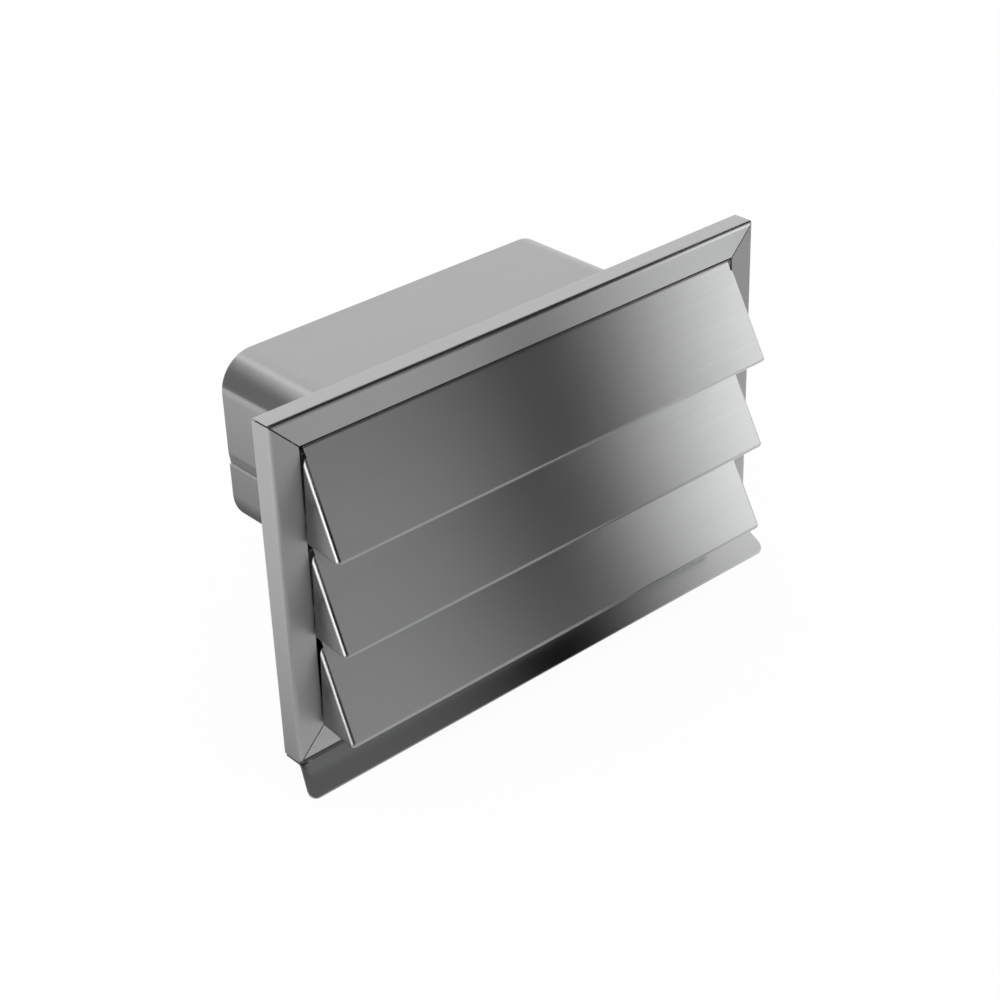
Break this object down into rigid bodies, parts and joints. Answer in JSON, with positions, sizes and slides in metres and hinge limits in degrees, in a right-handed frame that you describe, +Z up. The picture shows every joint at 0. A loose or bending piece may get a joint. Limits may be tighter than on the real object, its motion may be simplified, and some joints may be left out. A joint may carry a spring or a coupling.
{
  "type": "gravity louvre shutter",
  "caption": "Flat wall louvre of folded steel sheet with gravity flaps hung one above the other, a drip sill and a rounded duct spigot behind.",
  "frame": {"origin": "the middle of the frame on the wall plane, which is the centre of the four screw holes", "axes": "+X to the right seen from outdoors, +Y into the wall along the duct, +Z up"},
  "size_m": [0.3014, 0.1242, 0.1864],
  "materials": {
    "brushed_sheet": "brushed lengthways, satin",
    "inner_sheet": "plain mill finish",
    "steel_rod": "drawn bright rod",
    "spring_steel": "dark spring steel",
    "nylon": "natural nylon",
    "soft_buffer": "black foam rubber"
  },
  "bodies": {
    "casing": {"frame_rail_top": "brushed_sheet", "frame_rail_right": "brushed_sheet", "frame_rail_bottom": "brushed_sheet", "frame_rail_left": "brushed_sheet", "drip_sill": "brushed_sheet", "duct_spigot": "brushed_sheet", "back_plate": "inner_sheet", "bearing_strip_right": "inner_sheet", "bearing_strip_left": "inner_sheet", "top_stop_bar": "inner_sheet", "top_bush_right": "nylon", "top_bush_left": "nylon", "middle_stop_bar": "inner_sheet", "middle_bush_right": "nylon", "middle_bush_left": "nylon", "bottom_stop_bar": "inner_sheet", "bottom_bush_right": "nylon", "bottom_bush_left": "nylon"},
    "top_flap_body": {"top_flap": "brushed_sheet", "top_hinge_rod": "steel_rod", "top_rod_clips": "spring_steel", "top_buffers": "soft_buffer"},
    "middle_flap_body": {"middle_flap": "brushed_sheet", "middle_hinge_rod": "steel_rod", "middle_rod_clips": "spring_steel", "middle_buffers": "soft_buffer"},
    "bottom_flap_body": {"bottom_flap": "brushed_sheet", "bottom_hinge_rod": "steel_rod", "bottom_rod_clips": "spring_steel", "bottom_buffers": "soft_buffer"}
  },
  "joints": [
    {"name": "top_flap_swing", "type": "hinge", "parent": "casing", "child": "top_flap_body", "pos_m": [0, -0.006, 0.0665], "axis": [-1, 0, 0], "range_deg": [0, 48]},
    {"name": "middle_flap_swing", "type": "hinge", "parent": "casing", "child": "middle_flap_body", "pos_m": [0, -0.006, 0.0185], "axis": [-1, 0, 0], "range_deg": [0, 48]},
    {"name": "bottom_flap_swing", "type": "hinge", "parent": "casing", "child": "bottom_flap_body", "pos_m": [0, -0.006, -0.0295], "axis": [-1, 0, 0], "range_deg": [0, 48]}
  ]
}
